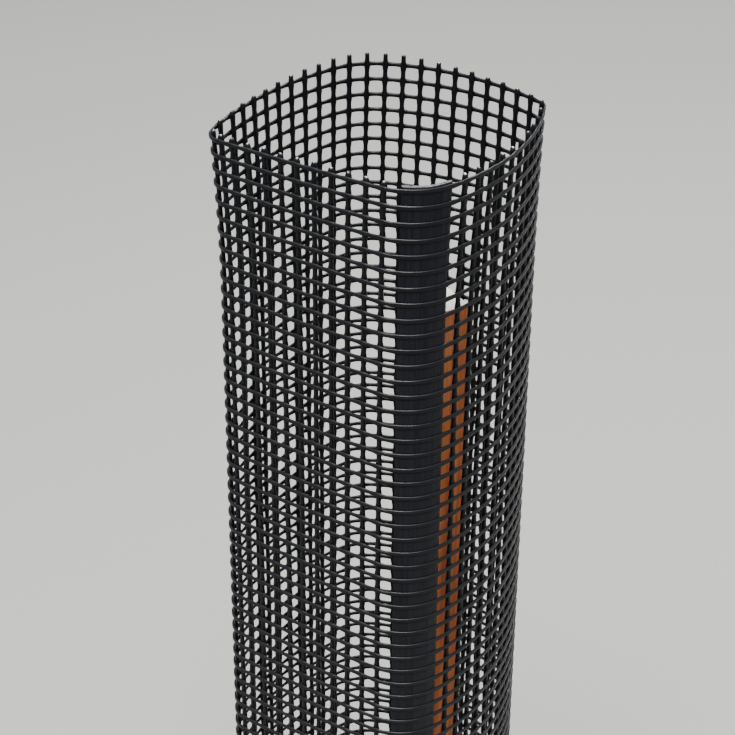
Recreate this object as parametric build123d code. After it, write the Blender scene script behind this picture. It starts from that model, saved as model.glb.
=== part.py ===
from build123d import *
from copy import deepcopy
import math
import os

# A tree guard tube: stiff black plastic net, slipped over a square wooden stake.
# The net is one extrusion in two layers. Upright strands and one solid seam strip form
# the inner layer. Level hoops form the outer layer and are welded to them where they cross.
#
# Frame: millimetres, +Z up, the ground at Z = 0. The origin is the middle of the tube in
# plan, and the seam strip faces -Y. The tube was packed flat, so in plan it is a rounded
# lozenge with one sharp fold on the left, not a circle.

# Driving dimensions
height = 600.0  # the longest strand, from the ground
pitch = 9.0  # strand to strand around the tube
hoop_pitch = 8.0  # hoop to hoop up the tube
strand_count = 45
hoop_count = 75

strand_width = 2.6  # along the wall
strand_depth = 2.4  # through the wall
strand_edge_radius = 0.5
fold_strand = 11  # the strand that lies in the left fold, counted from the strip's left
hoop_height = 2.1
hoop_depth = 1.4
hoop_edge_radius = 0.45
weld_bite = 0.5  # how far a hoop is sunk into the strands it crosses

strip_width = 2.57 * pitch  # along the wall
strip_depth = 2.0
strip_gap = 0.91 * pitch  # from the strip's edge to the middle of the next strand
strip_offset = 1.18 * pitch  # the strip's middle, from the start of the near corner's round
strip_rise = 2.3  # how far the strip stands up past the top hoop

tip_short = 3.3  # how far most strands stand up past the top hoop
tip_long = 6.8  # the same at the far corner, where the end was cut unevenly
tip_rise_left = 10.0 * pitch  # how far along the wall that rise starts on each side
tip_rise_right = 10.0 * pitch

stake_side = 22.0
stake_top = 68.4  # below the top hoop
stake_turn = 29.4  # the stake's sides against the X and Y axes, in degrees
stake_right_corner = Vector(41.7, -47.4)
stake_edge_radius = 0.8

top_hoop_z = height - tip_long

# The tube's plan, along the middle of the strand layer and clockwise from above: each
# corner, the radius that rounds it, and how far the wall after it bows outwards.
near_corner = Vector(1.74 * pitch, -8.23 * pitch)
left_corner = Vector(-8.65 * pitch, -1.65 * pitch)
far_corner = Vector(-1.15 * pitch, 7.86 * pitch)
right_corner = Vector(8.43 * pitch, 2.49 * pitch)
corners = [near_corner, left_corner, far_corner, right_corner]
corner_radii = [2.78 * pitch, 1.05 * pitch, 3.47 * pitch, 0.74 * pitch]
wall_bows = [0.17 * pitch, 1.02 * pitch, 1.22 * pitch, 1.51 * pitch]
wall_names = ["near_left", "far_left", "far_right", "near_right"]


def bowed_wall(start, end, bow):
    """One wall of the plan: an arc that bows out to the left of its direction of travel."""
    along = (end - start).normalized()
    outward = Vector(-along.Y, along.X)
    return ThreePointArc(start, (start + end) * 0.5 + outward * bow, end)


def plan_face():
    """The closed plan of the tube, to the middle of the strand layer."""
    walls = []
    for i in range(len(corners)):
        walls.append(bowed_wall(corners[i], corners[(i + 1) % len(corners)], wall_bows[i]))
    plan = make_face(Wire(walls).edges())
    for corner, radius in zip(corners, corner_radii):
        vertex = plan.vertices().sort_by_distance(corner)[0]
        plan = fillet(vertex, radius)
    return plan.face()


class Route:
    """The plan's outline as a route measured in millimetres, clockwise from the near corner.

    Its stretches are the near corner's round, the wall after it, the left corner's round,
    and so on around the tube.
    """

    def __init__(self, plan):
        near_edge = plan.edges().sort_by_distance(near_corner)[0]
        near_bearing = self.bearing(near_edge)
        self.edges = sorted(
            plan.edges(), key=lambda edge: (near_bearing - self.bearing(edge)) % 360
        )
        self.length = sum(edge.length for edge in self.edges)

    def bearing(self, edge):
        """The direction of an edge's middle from the origin, in degrees."""
        middle = edge @ 0.5
        return math.degrees(math.atan2(middle.Y, middle.X))

    def runs_clockwise(self, edge):
        """Whether an edge's own direction is the route's."""
        middle = edge @ 0.5
        return (edge % 0.5).dot(Vector(middle.Y, -middle.X)) > 0

    def outward(self, edge, u):
        """The outward normal of an edge at its parameter u."""
        along = edge % u
        if not self.runs_clockwise(edge):
            along = along * -1
        return Vector(-along.Y, along.X)

    def at(self, distance):
        """The point at a distance along the route, and the outward normal there."""
        distance = distance % self.length
        i = 0
        while distance > self.edges[i].length:
            distance -= self.edges[i].length
            i += 1
        edge = self.edges[i]
        u = distance / edge.length
        if not self.runs_clockwise(edge):
            u = 1 - u
        return edge @ u, self.outward(edge, u)

    def face(self, grow):
        """The plan as a face, with its outline moved outwards by a distance."""
        arcs = []
        for edge in self.edges:
            points = [edge @ u + self.outward(edge, u) * grow for u in (0, 0.5, 1)]
            arcs.append(ThreePointArc(*points))
        return make_face(arcs).face()

    def corner_distance(self, corner):
        """How far along the route the middle of a corner's round lies."""
        round_index = 2 * corners.index(corner)
        before = sum(edge.length for edge in self.edges[:round_index])
        return before + self.edges[round_index].length / 2


def ring(route, inner, outer, bottom, top):
    """A ring that follows the plan, between two offsets from it and two heights."""
    band = route.face(outer) - route.face(inner)
    return Pos(0, 0, bottom) * extrude(band, top - bottom)


def make_strands(route):
    """The upright strands, in order around the tube, each with its distance along the route.

    They are evenly spaced, except that the fold has drawn one strand and its neighbours to it.
    """
    first = strip_offset + strip_width / 2 + strip_gap
    last = strip_offset - strip_width / 2 - strip_gap + route.length
    step = (last - first) / (strand_count - 1)
    far = route.corner_distance(far_corner)
    pull = first + step * fold_strand - route.corner_distance(left_corner)
    strands = []
    for i in range(strand_count):
        nearness = max(0.0, 1 - abs(i - fold_strand) / 2)
        distance = first + step * i - pull * nearness
        point, outward = route.at(distance)
        top = top_hoop_z + tip_height(distance - far)
        bar = Box(
            strand_width, strand_depth, top, align=(Align.CENTER, Align.CENTER, Align.MIN)
        )
        bar = fillet(bar.edges().filter_by(Axis.Z), strand_edge_radius)
        turn = math.degrees(math.atan2(outward.Y, outward.X)) - 90
        strands.append((distance, Pos(point.X, point.Y, 0) * Rot(0, 0, turn) * bar))
    return strands


def tip_height(past_far_corner):
    """How far a strand stands up past the top hoop: a smooth rise around the far corner."""
    reach = tip_rise_right if past_far_corner > 0 else tip_rise_left
    near = max(0.0, 1 - abs(past_far_corner) / reach)
    rise = 0.5 - 0.5 * math.cos(math.pi * near)
    return tip_short + (tip_long - tip_short) * rise


def make_hoops(route):
    """The level hoops, the lowest just above the ground and the highest at the rim."""
    inner = strand_depth / 2 - weld_bite
    hoop = ring(route, inner, inner + hoop_depth, -hoop_height / 2, hoop_height / 2)
    flat_faces = hoop.faces().filter_by(Axis.Z)
    outer_edges = [edge for face in flat_faces for edge in face.outer_wire().edges()]
    hoop = fillet(outer_edges, hoop_edge_radius)
    lowest = top_hoop_z - (hoop_count - 1) * hoop_pitch
    return [Pos(0, 0, lowest + i * hoop_pitch) * deepcopy(hoop) for i in range(hoop_count)]


def make_strip(route):
    """The solid seam strip, whose outer face is level with the strands' outer faces."""
    top = top_hoop_z + strip_rise
    band = ring(route, strand_depth / 2 - strip_depth, strand_depth / 2, 0, top)
    reach = 15.0
    left_point, left_normal = route.at(strip_offset + strip_width / 2)
    right_point, right_normal = route.at(strip_offset - strip_width / 2)
    sector = Polyline(
        left_point + left_normal * reach,
        right_point + right_normal * reach,
        right_point - right_normal * reach,
        left_point - left_normal * reach,
        close=True,
    )
    return band & extrude(make_face(sector), top)


def make_stake():
    """The square stake inside the tube, sawn level at the top and cut off at the ground."""
    top = top_hoop_z - stake_top
    stake = Box(
        stake_side, stake_side, top, align=(Align.CENTER, Align.CENTER, Align.MIN)
    )
    stake = fillet(stake.edges().filter_by(Axis.Z), stake_edge_radius)
    back = Vector(math.cos(math.radians(90 + stake_turn)), math.sin(math.radians(90 + stake_turn)))
    left = Vector(-back.Y, back.X)
    middle = stake_right_corner + (back + left) * (stake_side / 2)
    return Pos(middle.X, middle.Y, 0) * Rot(0, 0, stake_turn) * stake


def main():
    os.makedirs("parts", exist_ok=True)
    route = Route(plan_face())
    strands = make_strands(route)
    # A strand in a corner belongs to the wall before it
    wall_ends = [route.corner_distance(corner) + strand_width for corner in corners[1:]]
    wall_ends.append(2 * route.length)

    nodes = {}
    start = 0.0
    for name, end in zip(wall_names, wall_ends):
        wall = [bar for distance, bar in strands if start <= distance < end]
        nodes["strands_" + name] = Compound(children=[bar.solid() for bar in wall])
        start = end
    nodes["hoops"] = Compound(children=[hoop.solid() for hoop in make_hoops(route)])
    nodes["seam_strip"] = make_strip(route)
    nodes["stake"] = make_stake()

    for name, shape in nodes.items():
        export_step(shape, "parts/" + name + ".step")


main()
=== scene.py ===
import math

import bpy
import numpy as np
from mathutils import Matrix, Vector


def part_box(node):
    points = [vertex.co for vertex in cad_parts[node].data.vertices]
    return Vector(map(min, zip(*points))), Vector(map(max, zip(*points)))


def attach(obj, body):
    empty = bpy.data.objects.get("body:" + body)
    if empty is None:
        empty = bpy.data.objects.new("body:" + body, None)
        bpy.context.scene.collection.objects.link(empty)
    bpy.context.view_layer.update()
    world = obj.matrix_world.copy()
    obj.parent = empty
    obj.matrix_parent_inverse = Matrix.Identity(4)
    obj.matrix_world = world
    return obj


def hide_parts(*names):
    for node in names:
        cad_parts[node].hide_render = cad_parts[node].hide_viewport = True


# A tree guard tube: stiff black net in two layers, with a solid seam strip, over a square
# wooden stake. Metres, +Z up, the ground at Z = 0. All lengths below are in metres.
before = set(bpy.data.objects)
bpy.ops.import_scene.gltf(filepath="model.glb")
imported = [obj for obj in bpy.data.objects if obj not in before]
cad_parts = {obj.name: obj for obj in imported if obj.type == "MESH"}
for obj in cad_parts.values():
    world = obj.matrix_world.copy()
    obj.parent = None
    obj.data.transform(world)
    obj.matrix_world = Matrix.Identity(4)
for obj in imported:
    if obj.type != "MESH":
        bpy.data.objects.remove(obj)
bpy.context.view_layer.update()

# The net, as the CAD model has it
MM = 0.001
PITCH = 9.0 * MM  # strand to strand around the tube
STRAND_COUNT = 45
HOOP_COUNT = 75
STRAND_WIDTH = 2.6 * MM
STRAND_DEPTH = 2.4 * MM
FOLD_STRAND = 11  # the strand that lies in the left fold, counted from the strip's left
HOOP_HEIGHT = 2.1 * MM
HOOP_DEPTH = 1.4 * MM
WELD_BITE = 0.5 * MM
STRIP_WIDTH = 2.57 * PITCH
STRIP_DEPTH = 2.0 * MM
STRIP_GAP = 0.91 * PITCH
STRIP_OFFSET = 1.18 * PITCH
STRIP_RISE = 2.3 * MM
TIP_SHORT = 3.3 * MM  # from the middle of the top hoop
TIP_LONG = 6.8 * MM
TIP_RISE_LEFT = 10.0 * PITCH
TIP_RISE_RIGHT = 10.0 * PITCH

# The stake
STAKE_SIDE = 22.0 * MM
STAKE_TURN = math.radians(29.4)

# Each corner of the plan clockwise from the near one, the radius that rounds it, and how
# far the wall after it bows outwards
CORNERS = np.array([[1.74, -8.23], [-8.65, -1.65], [-1.15, 7.86], [8.43, 2.49]]) * PITCH
CORNER_RADII = np.array([2.78, 1.05, 3.47, 0.74]) * PITCH
WALL_BOWS = np.array([0.17, 1.02, 1.22, 1.51]) * PITCH
WALLS = ["near_left", "far_left", "far_right", "near_right"]

LOWEST_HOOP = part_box("hoops")[0][2] + HOOP_HEIGHT / 2
TOP_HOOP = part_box("hoops")[1][2] - HOOP_HEIGHT / 2
HOOP_HEIGHTS = np.linspace(LOWEST_HOOP, TOP_HOOP, HOOP_COUNT)
HOOP_PITCH = HOOP_HEIGHTS[1] - HOOP_HEIGHTS[0]
STRIP_TOP = TOP_HOOP + STRIP_RISE

# The real tube is wider at its rim than below it, most of all at the folded corner. These are
# how far the net is drawn in across the tube: evenly, in proportion to the distance from the
# middle, and with its square.
NECK = np.array([-0.9, -2.2, 1.75]) * MM
NECK_REACH = 78 * MM
FLARE_DEPTH = 85 * MM

# How far along a bar the plastic spreads from the middle of a weld
STRAND_WELD_REACH = 3.4 * MM
HOOP_WELD_REACH = 3.8 * MM
RIB_REACH = 3.0 * MM  # past the strip's edge

# The rings of a strand's tip: how far below its end, and how wide against the strand
TIP_DROPS = np.array([0.9, 0.4, 0.12, 0.0]) * MM
TIP_TAPERS = np.array([0.97, 0.86, 0.66, 0.45])
TIP_ROOM = 1.3 * MM  # no weld ring comes this near to the end

# The camera
CAMERA_PLACE = Vector((-4.94 * MM, -881.3 * MM, TOP_HOOP + 399 * MM))
CAMERA_PITCH = math.radians(31.0)  # below the horizon
CAMERA_ROLL = math.radians(0.4)
CAMERA_LENS = 102.5  # on a 36 mm sensor

random = np.random.default_rng(7)


class Route:
    """The plan's outline as a route in metres, clockwise from where the near corner's
    round begins. Its stretches are arcs: a corner's round, the wall after it, and so on."""

    def __init__(self):
        walls = []
        for i in range(4):
            walls.append(self.wall_circle(CORNERS[i], CORNERS[(i + 1) % 4], WALL_BOWS[i]))
        rounds = []
        for i in range(4):
            rounds.append(self.round_circle(walls[i - 1], walls[i], i))
        self.stretches = []
        self.corner_distances = []
        self.length = 0.0
        for i in range(4):
            start = self.touch(walls[i - 1], rounds[i])
            turn = self.touch(walls[i], rounds[i])
            end = self.touch(walls[i], rounds[(i + 1) % 4])
            round_length = self.add(rounds[i], start, turn)
            self.corner_distances.append(self.length - round_length / 2)
            self.add(walls[i], turn, end)

    def wall_circle(self, start, end, bow):
        """Centre and radius of a wall that bows out to the left of its direction of travel."""
        chord = end - start
        half = np.linalg.norm(chord) / 2
        outward = np.array([-chord[1], chord[0]]) / (2 * half)
        radius = (half**2 + bow**2) / (2 * bow)
        return (start + end) / 2 + outward * (bow - radius), radius

    def round_circle(self, before, after, i):
        """Centre and radius of the circle that rounds a corner, touching both walls inside."""
        radius = CORNER_RADII[i]
        reach_a, reach_b = before[1] - radius, after[1] - radius
        between = after[0] - before[0]
        gap = np.linalg.norm(between)
        along = (reach_a**2 - reach_b**2 + gap**2) / (2 * gap)
        across = math.sqrt(reach_a**2 - along**2)
        unit = between / gap
        side = np.array([-unit[1], unit[0]])
        foot = before[0] + unit * along
        choices = [foot + side * across, foot - side * across]
        return min(choices, key=lambda centre: np.linalg.norm(centre - CORNERS[i])), radius

    def touch(self, wall, corner_round):
        """Where a wall's circle meets a corner's round."""
        ray = corner_round[0] - wall[0]
        return wall[0] + ray * wall[1] / np.linalg.norm(ray)

    def add(self, circle, start, end):
        """Adds the clockwise arc of a circle from start to end, and returns its length."""
        centre, radius = circle
        first = math.atan2(*(start - centre)[::-1])
        last = math.atan2(*(end - centre)[::-1])
        sweep = (first - last) % (2 * math.pi)
        self.stretches.append((self.length, centre, radius, first))
        self.length += sweep * radius
        return sweep * radius

    def at(self, distances):
        """Points and outward normals at the given distances along the route."""
        distances = np.atleast_1d(distances) % self.length
        points = np.zeros((len(distances), 2))
        normals = np.zeros((len(distances), 2))
        for begin, centre, radius, first in self.stretches:
            here = distances >= begin
            angles = first - (distances[here] - begin) / radius
            normals[here] = np.stack([np.cos(angles), np.sin(angles)], 1)
            points[here] = centre + normals[here] * radius
        return points, normals


ROUTE = Route()
FIRST_STRAND = STRIP_OFFSET + STRIP_WIDTH / 2 + STRIP_GAP
LAST_STRAND = STRIP_OFFSET - STRIP_WIDTH / 2 - STRIP_GAP + ROUTE.length
STRANDS = np.linspace(FIRST_STRAND, LAST_STRAND, STRAND_COUNT)
FOLD_PULL = STRANDS[FOLD_STRAND] - ROUTE.corner_distances[1]
STRANDS -= FOLD_PULL * np.clip(1 - np.abs(np.arange(STRAND_COUNT) - FOLD_STRAND) / 2, 0, 1)


def lift(flat, z=0.0):
    """Two-column points as three-column ones at height z."""
    return np.column_stack([flat, np.full(len(flat), z)])


def section(count, squareness):
    """A closed rounded-rectangle section with unit half sizes: squareness 1 is an ellipse."""
    angles = (np.arange(count) + 0.5) * 2 * math.pi / count
    c, s = np.cos(angles), np.sin(angles)
    return np.stack([np.sign(c) * np.abs(c) ** squareness, np.sign(s) * np.abs(s) ** squareness], 1)


def smooth_bump(distance, reach):
    """1 at distance 0, falling smoothly to 0 at the given reach."""
    near = np.clip(1 - np.abs(distance) / reach, 0, 1)
    return near * near * (3 - 2 * near)


def flare(points):
    """Draws points of the net in from side to side, by more the further they are below the rim."""
    below = np.clip((TOP_HOOP - points[..., 2]) / FLARE_DEPTH, 0, 1)
    side = points[..., 0] / NECK_REACH
    drawn = points.copy()
    drawn[..., 0] += (NECK[0] + NECK[1] * side + NECK[2] * side**2) * (1 - (1 - below) ** 2)
    drawn[..., 2] = np.maximum(drawn[..., 2], 0)
    return drawn


class Builder:
    """Collects vertices, faces and material numbers of one piece."""

    def __init__(self):
        self.vertices = []
        self.faces = []
        self.slots = []
        self.count = 0

    def add_points(self, points):
        start = self.count
        self.vertices.append(points)
        self.count += len(points)
        return start

    def tube(self, rings, closed=False, cap_slot=None):
        """Skins an array of rings (ring, point, xyz). The caps take their own material."""
        ring_count, point_count = rings.shape[:2]
        start = self.add_points(rings.reshape(-1, 3))
        spans = ring_count if closed else ring_count - 1
        for i in range(spans):
            a = start + i * point_count
            b = start + ((i + 1) % ring_count) * point_count
            for j in range(point_count):
                k = (j + 1) % point_count
                self.faces.append((a + j, a + k, b + k, b + j))
                self.slots.append(0)
        if cap_slot is not None:
            last = start + (ring_count - 1) * point_count
            self.faces.append(tuple(range(start + point_count - 1, start - 1, -1)))
            self.faces.append(tuple(range(last, last + point_count)))
            self.slots += [cap_slot, cap_slot]

    def make(self, name, materials, body, nodes):
        """The finished object, riding on its body in place of its CAD nodes."""
        mesh = bpy.data.meshes.new(name)
        mesh.from_pydata(np.concatenate(self.vertices).tolist(), [], self.faces)
        mesh.polygons.foreach_set("material_index", self.slots)
        mesh.polygons.foreach_set("use_smooth", [s == 0 for s in self.slots])
        for material in materials:
            mesh.materials.append(material)
        mesh.validate()
        mesh.update()
        piece = bpy.data.objects.new(name, mesh)
        bpy.context.scene.collection.objects.link(piece)
        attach(piece, body)
        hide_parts(*nodes)
        return piece


# ---------------------------------------------------------------- materials


class Nodes:
    """A material's node tree, with short calls for the nodes used here."""

    def __init__(self, name):
        self.material = bpy.data.materials.new(name)
        self.material.use_nodes = True
        self.tree = self.material.node_tree
        self.shader = self.tree.nodes["Principled BSDF"]

    def node(self, kind, **values):
        made = self.tree.nodes.new(kind)
        for key, value in values.items():
            setattr(made, key, value)
        return made

    def link(self, source, target):
        self.tree.links.new(source, target)

    def place(self, scale):
        """Object coordinates stretched by scale along X, Y and Z."""
        coordinates = self.node("ShaderNodeTexCoord")
        mapping = self.node("ShaderNodeMapping")
        mapping.inputs["Scale"].default_value = scale
        self.link(coordinates.outputs["Object"], mapping.inputs["Vector"])
        return mapping.outputs["Vector"]

    def upward(self):
        """How far the surface faces up: 1 on a level top, 0 on a wall, -1 underneath."""
        coordinates = self.node("ShaderNodeTexCoord")
        split = self.node("ShaderNodeSeparateXYZ")
        self.link(coordinates.outputs["Normal"], split.inputs["Vector"])
        return split.outputs["Z"]

    def noise(self, place, scale, detail=4.0, roughness=0.55):
        made = self.node("ShaderNodeTexNoise")
        made.inputs["Scale"].default_value = scale
        made.inputs["Detail"].default_value = detail
        made.inputs["Roughness"].default_value = roughness
        self.link(place, made.inputs["Vector"])
        return made.outputs["Fac"]

    def ramp(self, value, stops):
        """Maps a value to a colour through stops of (position, rgb)."""
        made = self.node("ShaderNodeValToRGB")
        elements = made.color_ramp.elements
        while len(elements) < len(stops):
            elements.new(0.5)
        for element, (position, colour) in zip(elements, stops):
            element.position = position
            element.color = (*colour, 1.0)
        self.link(value, made.inputs["Fac"])
        return made.outputs["Color"]

    def span(self, value, low, high, from_low=0.0, from_high=1.0):
        """Maps a value's range to low..high."""
        made = self.node("ShaderNodeMapRange")
        made.inputs["From Min"].default_value = from_low
        made.inputs["From Max"].default_value = from_high
        made.inputs["To Min"].default_value = low
        made.inputs["To Max"].default_value = high
        self.link(value, made.inputs["Value"])
        return made.outputs["Result"]

    def mix(self, factor, a, b):
        """Mixes two colours by a factor."""
        made = self.node("ShaderNodeMix", data_type="RGBA")
        for socket, value in ((made.inputs[0], factor), (made.inputs[6], a), (made.inputs[7], b)):
            if isinstance(value, bpy.types.NodeSocket):
                self.link(value, socket)
            else:
                socket.default_value = value
        return made.outputs[2]

    def bump(self, height, strength, distance, normal=None):
        made = self.node("ShaderNodeBump")
        made.inputs["Strength"].default_value = strength
        made.inputs["Distance"].default_value = distance
        self.link(height, made.inputs["Height"])
        if normal is not None:
            self.link(normal, made.inputs["Normal"])
        return made.outputs["Normal"]

    def set(self, **sockets):
        """Links or sets the shader's sockets, with _ for each space in a name."""
        for name, value in sockets.items():
            socket = self.shader.inputs[name.replace("_", " ")]
            if isinstance(value, bpy.types.NodeSocket):
                self.link(value, socket)
            else:
                socket.default_value = value


def plastic(name, dark, light, streak_scale, low_rough, high_rough):
    """Black polyethylene: extrusion streaks, uneven gloss, dust in patches, and painted light: tops
    painted paler and glossier as painted highlight, undersides painted darker and duller as painted
    shade.
    """
    n = Nodes(name)
    streaks = n.noise(n.place(streak_scale), 1.0, 3.0)
    patches = n.noise(n.place((1, 1, 1)), 60.0, 4.0)
    grain = n.noise(n.place((1, 1, 1)), 1800.0, 3.0)
    tone = n.ramp(streaks, [(0.3, dark), (0.75, light)])
    # Painted light: faces that point up get a paler base colour and more gloss (painted highlight),
    # faces that point down a darker colour and less gloss (painted shade).
    top = n.span(n.upward(), 0.0, 1.0, -0.35, 0.6)
    dust = n.span(patches, 0.0, 0.3, 0.55, 0.8)
    dusted = n.mix(dust, tone, (0.015, 0.015, 0.02, 1.0))
    n.set(
        Base_Color=n.mix(n.span(top, 0.0, 0.5, 0.5, 1.0), dusted, (0.015, 0.016, 0.02, 1.0)),
        Roughness=n.span(patches, low_rough, high_rough, 0.3, 0.7),
        Specular_IOR_Level=n.span(top, 0.03, 0.38),
        IOR=1.51,
        Normal=n.bump(grain, 0.25, 0.0001, n.bump(streaks, 0.5, 0.00025)),
    )
    return n.material


def cut_plastic(name, glint_colour):
    """A cut end: dark and smooth, torn a little by the blade, with small pale flecks that are
    painted glints of light.
    """
    n = Nodes(name)
    flecks = n.noise(n.place((1, 1, 1)), 700.0, 4.0)
    n.set(
        # The pale flecks are painted glints of light on the cut face.
        Base_Color=n.ramp(flecks, [(0.40, (0.03, 0.03, 0.034)), (0.52, glint_colour)]),
        Roughness=n.span(flecks, 0.2, 0.4),
        Specular_IOR_Level=0.6,
        Normal=n.bump(flecks, 0.5, 0.0002),
    )
    return n.material


def stake_side_wood():
    """Sawn reddish hardwood: long grain up the stake, pores and saw marks across it."""
    n = Nodes("stake_side_wood")
    grain = n.noise(n.place((420, 420, 9)), 1.0, 6.0, 0.6)
    pores = n.noise(n.place((1800, 1800, 60)), 1.0, 2.0)
    weather = n.noise(n.place((1, 1, 1)), 45.0, 4.0)
    saw = n.noise(n.place((20, 20, 900)), 1.0, 2.0)
    tone = n.ramp(
        grain,
        [(0.25, (0.28, 0.065, 0.02)), (0.5, (0.64, 0.18, 0.055)), (0.78, (0.86, 0.35, 0.14))],
    )
    darker = n.mix(n.span(pores, 0.0, 0.5, 0.6, 0.75), tone, (0.10, 0.035, 0.014, 1.0))
    paled = n.mix(n.span(weather, 0.0, 0.3, 0.5, 0.75), darker, (0.50, 0.32, 0.20, 1.0))
    fibres = n.bump(grain, 0.55, 0.0006, n.bump(pores, 0.4, 0.0003))
    n.set(
        Base_Color=paled,
        Roughness=n.span(grain, 0.62, 0.85),
        Specular_IOR_Level=0.3,
        Normal=n.bump(saw, 0.25, 0.0003, fibres),
    )
    return n.material


def stake_end_wood_painted_light():
    """The sawn end grain on top: growth rings and open pores, in near-white tones that are painted
    sunlight on this face.
    """
    n = Nodes("stake_end_wood_painted_light")
    place = n.place((1, 1, 1))
    rings = n.node("ShaderNodeTexWave", wave_type="RINGS", rings_direction="Z")
    rings.inputs["Scale"].default_value = 90.0
    rings.inputs["Distortion"].default_value = 3.0
    rings.inputs["Detail"].default_value = 3.0
    n.link(place, rings.inputs["Vector"])
    pores = n.noise(place, 2200.0, 2.0)
    # The near-white tones are painted sunlight; the rings and pores are the end grain's own.
    tone = n.ramp(rings.outputs["Fac"], [(0.2, (0.90, 0.84, 0.75)), (0.8, (0.97, 0.95, 0.91))])
    n.set(
        Base_Color=n.mix(n.span(pores, 0.0, 0.6, 0.6, 0.75), tone, (0.45, 0.30, 0.18, 1.0)),
        Roughness=n.span(pores, 0.75, 0.95),
        Normal=n.bump(pores, 0.5, 0.0003),
    )
    return n.material


STRAND_PLASTIC = plastic(
    "strand_plastic", (0.002, 0.002, 0.003), (0.005, 0.0055, 0.008), (1500, 1500, 30), 0.3, 0.45
)
HOOP_PLASTIC = plastic(
    "hoop_plastic", (0.003, 0.003, 0.0045), (0.007, 0.0075, 0.011), (90, 90, 1600), 0.26, 0.42
)
STRIP_PLASTIC = plastic(
    "strip_plastic", (0.001, 0.0012, 0.0025), (0.009, 0.0095, 0.016), (800, 800, 14), 0.3, 0.48
)
# Painted highlights: near-white glints on the strands' cut tips, and a paler painted rim along the
# strip's top edge.
CUT_STRAND = cut_plastic("cut_strand", (0.6, 0.6, 0.61))
CUT_STRIP = cut_plastic("cut_strip", (0.16, 0.16, 0.17))
SIDE_WOOD = stake_side_wood()
# The stake's top: end grain painted pale as if sunlit.
END_WOOD_PAINTED_LIGHT = stake_end_wood_painted_light()


# ---------------------------------------------------------------- the net


def tip_height(past_far_corner):
    """How far a strand stands up past the top hoop: a smooth rise around the far corner."""
    reach = TIP_RISE_RIGHT if past_far_corner > 0 else TIP_RISE_LEFT
    near = max(0.0, 1 - abs(past_far_corner) / reach)
    return TIP_SHORT + (TIP_LONG - TIP_SHORT) * (0.5 - 0.5 * math.cos(math.pi * near))


def strand_rings(distance, top):
    """The rings of one strand: a bar that spreads at every weld and ends in a cut tip."""
    steps = np.array([-4.0, -3.0, -2.2, -1.5, 0.0, 1.5, 2.2, 3.0]) * MM
    foot = np.array([0.0, 0.3]) * MM
    z = (HOOP_HEIGHTS[:, None] + steps[None, :]).ravel()
    z = z[(z > foot[1] + 0.1 * MM) & (z < top - TIP_ROOM)]
    z = np.concatenate([foot, z, top - TIP_DROPS])
    from_weld = np.abs(z[:, None] - HOOP_HEIGHTS[None, :]).min(1)
    weld = smooth_bump(from_weld, STRAND_WELD_REACH)
    wander = 0.12 * MM * np.sin(z * 23 + random.uniform(0, 6)) * smooth_bump(z - 0.3, 0.3)
    point, normal = ROUTE.at(distance + wander)
    along = np.stack([-normal[:, 1], normal[:, 0]], 1)
    half_width = STRAND_WIDTH / 2 * (0.85 + 0.35 * weld)
    half_depth = STRAND_DEPTH / 2 * (0.9 + 0.08 * weld)
    tip = len(TIP_DROPS)
    half_width[-tip:] = STRAND_WIDTH / 2 * 0.84 * TIP_TAPERS
    half_depth[-tip:] = STRAND_DEPTH / 2 * 0.9 * TIP_TAPERS
    shape = section(8, 0.65)
    rings = lift(point)[:, None, :] + (
        lift(along)[:, None, :] * (half_width[:, None] * shape[None, :, 0])[..., None]
        + lift(normal)[:, None, :] * (half_depth[:, None] * shape[None, :, 1])[..., None]
    )
    rings[:, :, 2] = z[:, None]
    slope = random.uniform(-0.25, 0.1, 2)
    tilt = (shape[:, 0] * slope[0] + shape[:, 1] * slope[1]) * MM - 0.3 * MM
    rings[-tip:, :, 2] += tilt * np.linspace(0.2, 1, tip)[:, None]
    return flare(rings)


def make_strands():
    """One piece for each wall's strands."""
    far = ROUTE.corner_distances[2]
    edges = [corner + STRAND_WIDTH for corner in ROUTE.corner_distances[1:]] + [2 * ROUTE.length]
    start = 0.0
    for wall, end in zip(WALLS, edges):
        builder = Builder()
        for distance in STRANDS[(STRANDS >= start) & (STRANDS < end)]:
            top = TOP_HOOP + tip_height(distance - far) + random.uniform(-0.35, 0.1) * MM
            builder.tube(strand_rings(distance, top), cap_slot=1)
        builder.make(
            "net_strands_" + wall, [STRAND_PLASTIC, CUT_STRAND], "guard",
            ["strands_" + wall],
        )
        start = end


def around(distance):
    """A difference of distances around the route, taken the short way."""
    return (distance + ROUTE.length / 2) % ROUTE.length - ROUTE.length / 2


def hoop_stations():
    """Distances around the route for a hoop's rings, with its swelling at each station."""
    steps = np.array([-4.5, -3.2, -2.3, -1.5, 0.0, 1.5, 2.3, 3.2]) * MM
    beside = (STRANDS[:, None] + steps[None, :]).ravel()
    across = STRIP_OFFSET + np.linspace(-0.5, 0.5, 15) * STRIP_WIDTH
    distances = np.sort(np.concatenate([beside, across]) % ROUTE.length)
    from_strand = np.abs(around(distances[:, None] - STRANDS[None, :])).min(1)
    weld = smooth_bump(from_strand, HOOP_WELD_REACH)
    from_strip = np.abs(around(distances - STRIP_OFFSET)) - STRIP_WIDTH / 2
    on_strip = smooth_bump(np.maximum(from_strip, 0), RIB_REACH)
    return distances, weld, on_strip


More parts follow.
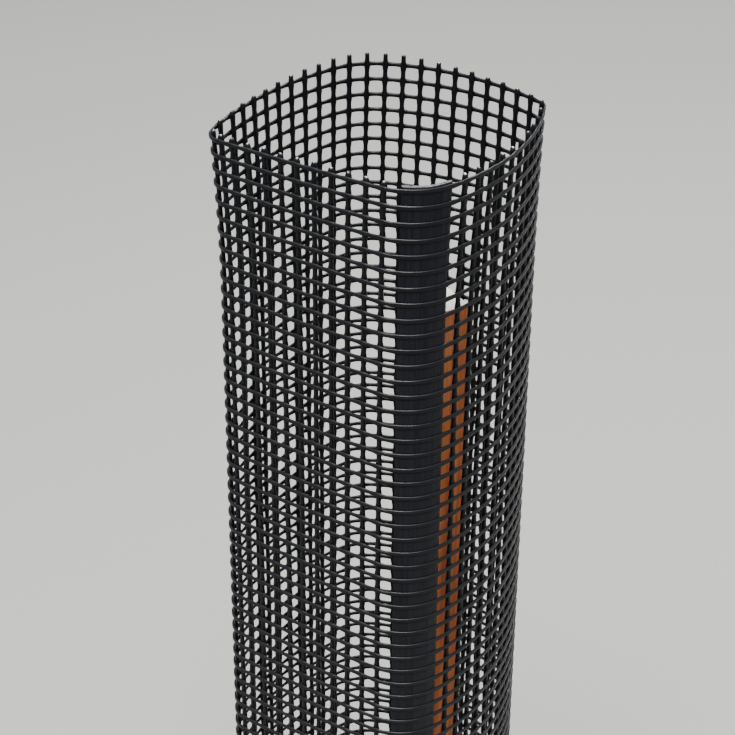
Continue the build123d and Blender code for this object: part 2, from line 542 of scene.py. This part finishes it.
def hoop_rings(z, distances, weld, on_strip):
    """The rings of one hoop: it spreads at each weld and into a rib on the strip."""
    point, normal = ROUTE.at(distances)
    half_height = HOOP_HEIGHT / 2 * (0.88 + 0.34 * weld + 0.35 * on_strip)
    seat = STRAND_DEPTH / 2 - WELD_BITE
    inner = seat + 0.12 * MM * (1 - weld)
    outer = seat + HOOP_DEPTH * (0.93 + 0.06 * weld - 0.12 * on_strip)
    phase = random.uniform(0, 6, 2)
    turns = distances / ROUTE.length * 2 * math.pi
    sway = 0.1 * MM * (np.sin(2 * turns + phase[0]) + np.sin(5 * turns + phase[1]))
    shape = section(8, 0.65)
    reach = ((outer + inner) / 2)[:, None] + ((outer - inner) / 2)[:, None] * shape[None, :, 0]
    rings = lift(point)[:, None, :] + lift(normal)[:, None, :] * reach[..., None]
    rings[:, :, 2] = (z + sway)[:, None] + half_height[:, None] * shape[None, :, 1]
    return flare(rings)


def make_hoops():
    """The hoops in three pieces, so that none is a very large mesh."""
    stations = hoop_stations()
    for name, heights in zip(("low", "middle", "high"), np.array_split(HOOP_HEIGHTS, 3)):
        builder = Builder()
        for z in heights:
            builder.tube(hoop_rings(z, *stations), closed=True)
        builder.make("net_hoops_" + name, [HOOP_PLASTIC], "guard", ["hoops"])


def make_strip():
    """The solid strip: a curved band with faint ridges drawn along it by the die."""
    columns = 49
    distances = STRIP_OFFSET + np.linspace(0.5, -0.5, columns) * STRIP_WIDTH
    point, normal = ROUTE.at(distances)
    ridges = random.normal(0, 0.035, columns) * MM
    edge = np.abs(np.linspace(-1, 1, columns))
    thin = 0.35 * MM * smooth_bump(1 - edge, 0.06)
    outer = point + normal * (STRAND_DEPTH / 2 + ridges - thin)[:, None]
    inner = point + normal * (STRAND_DEPTH / 2 - STRIP_DEPTH + thin)[:, None]
    loop = np.concatenate([outer, inner[::-1]])
    rows = np.arange(0.0, STRIP_TOP - 1 * MM, HOOP_PITCH / 2)
    rows = np.concatenate([rows, [STRIP_TOP - 0.3 * MM, STRIP_TOP]])
    rings = np.stack([lift(loop, z) for z in rows])
    wave = 0.1 * MM * np.sin(np.linspace(0, 9, columns))
    rings[-1, :, 2] += np.concatenate([wave, wave[::-1]])
    across = np.concatenate([inner, outer[::-1]]) - loop
    rings[-1, :, :2] += across * 0.125
    builder = Builder()
    builder.tube(flare(rings), cap_slot=1)
    builder.make("net_seam_strip", [STRIP_PLASTIC, CUT_STRIP], "guard", ["seam_strip"])


# ---------------------------------------------------------------- the stake


def make_stake():
    """The square stake: sawn sides that wander a little, and a level sawn top."""
    low, high = (np.array(corner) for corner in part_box("stake"))
    centre = (low + high)[:2] / 2
    top = high[2]
    shape = section(40, 0.12)
    local = shape / np.abs(shape).max() * STAKE_SIDE / 2
    c, s = math.cos(STAKE_TURN), math.sin(STAKE_TURN)
    turned = local @ np.array([[c, s], [-s, c]])
    rows = np.concatenate([np.arange(0.0, top - 2 * MM, 6 * MM), [top - 0.7 * MM, top]])
    rings = np.zeros((len(rows), len(local), 3))
    for i, z in enumerate(rows):
        wander = 1 - 0.008 * (1 + math.sin(z * 31)) - 0.004 * random.random(len(local))
        rings[i, :, :2] = centre + turned * wander[:, None]
        rings[i, :, 2] = z
    rings[-1, :, :2] = centre + (rings[-1, :, :2] - centre) * 0.965
    builder = Builder()
    # The top cap takes the end wood, painted pale as if sunlit.
    builder.tube(rings, cap_slot=1)
    builder.make("stake_wood", [SIDE_WOOD, END_WOOD_PAINTED_LIGHT], "stake", ["stake"])


# ---------------------------------------------------------------- the studio


def make_floor():
    """A plain pale floor."""
    n = Nodes("studio_floor")
    n.set(Base_Color=(0.50, 0.51, 0.49, 1.0), Roughness=0.9)
    half = 6.0
    mesh = bpy.data.meshes.new("floor")
    corners = [(-half, -half, 0), (half, -half, 0), (half, half, 0), (-half, half, 0)]
    mesh.from_pydata(corners, [], [(0, 1, 2, 3)])
    mesh.materials.append(n.material)
    floor = bpy.data.objects.new("floor", mesh)
    bpy.context.scene.collection.objects.link(floor)


def make_light(name, place, target, size, power, colour=(1, 1, 1)):
    """A square area light aimed at a point."""
    data = bpy.data.lights.new(name, "AREA")
    data.size = size
    data.energy = power
    data.color = colour
    light = bpy.data.objects.new(name, data)
    light.location = place
    aim = Vector(target) - Vector(place)
    light.rotation_euler = aim.to_track_quat("-Z", "Y").to_euler()
    bpy.context.scene.collection.objects.link(light)


def make_studio():
    """Soft light: a wide key overhead, a rim light behind, and a world that is paler upwards."""
    middle = (0, 0, 0.5)
    make_light("key", (-0.2, -0.7, 2.3), middle, 1.1, 70, (1.0, 0.98, 0.95))
    make_light("rim", (0.7, 1.1, 2.0), middle, 0.6, 30, (1.0, 0.97, 0.92))
    world = bpy.data.worlds.new("studio")
    world.use_nodes = True
    tree = world.node_tree
    sky = tree.nodes["Background"]
    sky.inputs["Color"].default_value = (0.95, 0.97, 1.0, 1.0)
    place = tree.nodes.new("ShaderNodeTexCoord")
    split = tree.nodes.new("ShaderNodeSeparateXYZ")
    height = tree.nodes.new("ShaderNodeMapRange")
    height.inputs["From Min"].default_value = 0.0
    height.inputs["From Max"].default_value = 0.9
    height.inputs["To Min"].default_value = 0.22
    height.inputs["To Max"].default_value = 0.9
    tree.links.new(place.outputs["Generated"], split.inputs["Vector"])
    tree.links.new(split.outputs["Z"], height.inputs["Value"])
    tree.links.new(height.outputs["Result"], sky.inputs["Strength"])
    bpy.context.scene.world = world


def make_camera():
    """The camera, pitched down and rolled a little."""
    right = Vector((1, 0, 0))
    forward = Vector((0, math.cos(CAMERA_PITCH), -math.sin(CAMERA_PITCH)))
    up = right.cross(forward)
    c, s = math.cos(CAMERA_ROLL), math.sin(CAMERA_ROLL)
    rolled_right = right * c + up * s
    rolled_up = up * c - right * s
    data = bpy.data.cameras.new("camera")
    data.sensor_width = 36
    data.lens = CAMERA_LENS
    data.clip_start = 0.01
    camera = bpy.data.objects.new("camera", data)
    turn = Matrix((rolled_right, rolled_up, -forward)).transposed()
    camera.matrix_world = Matrix.Translation(CAMERA_PLACE) @ turn.to_4x4()
    bpy.context.scene.collection.objects.link(camera)
    bpy.context.scene.camera = camera


make_camera()
make_strands()
make_hoops()
make_strip()
make_stake()
make_floor()
make_studio()
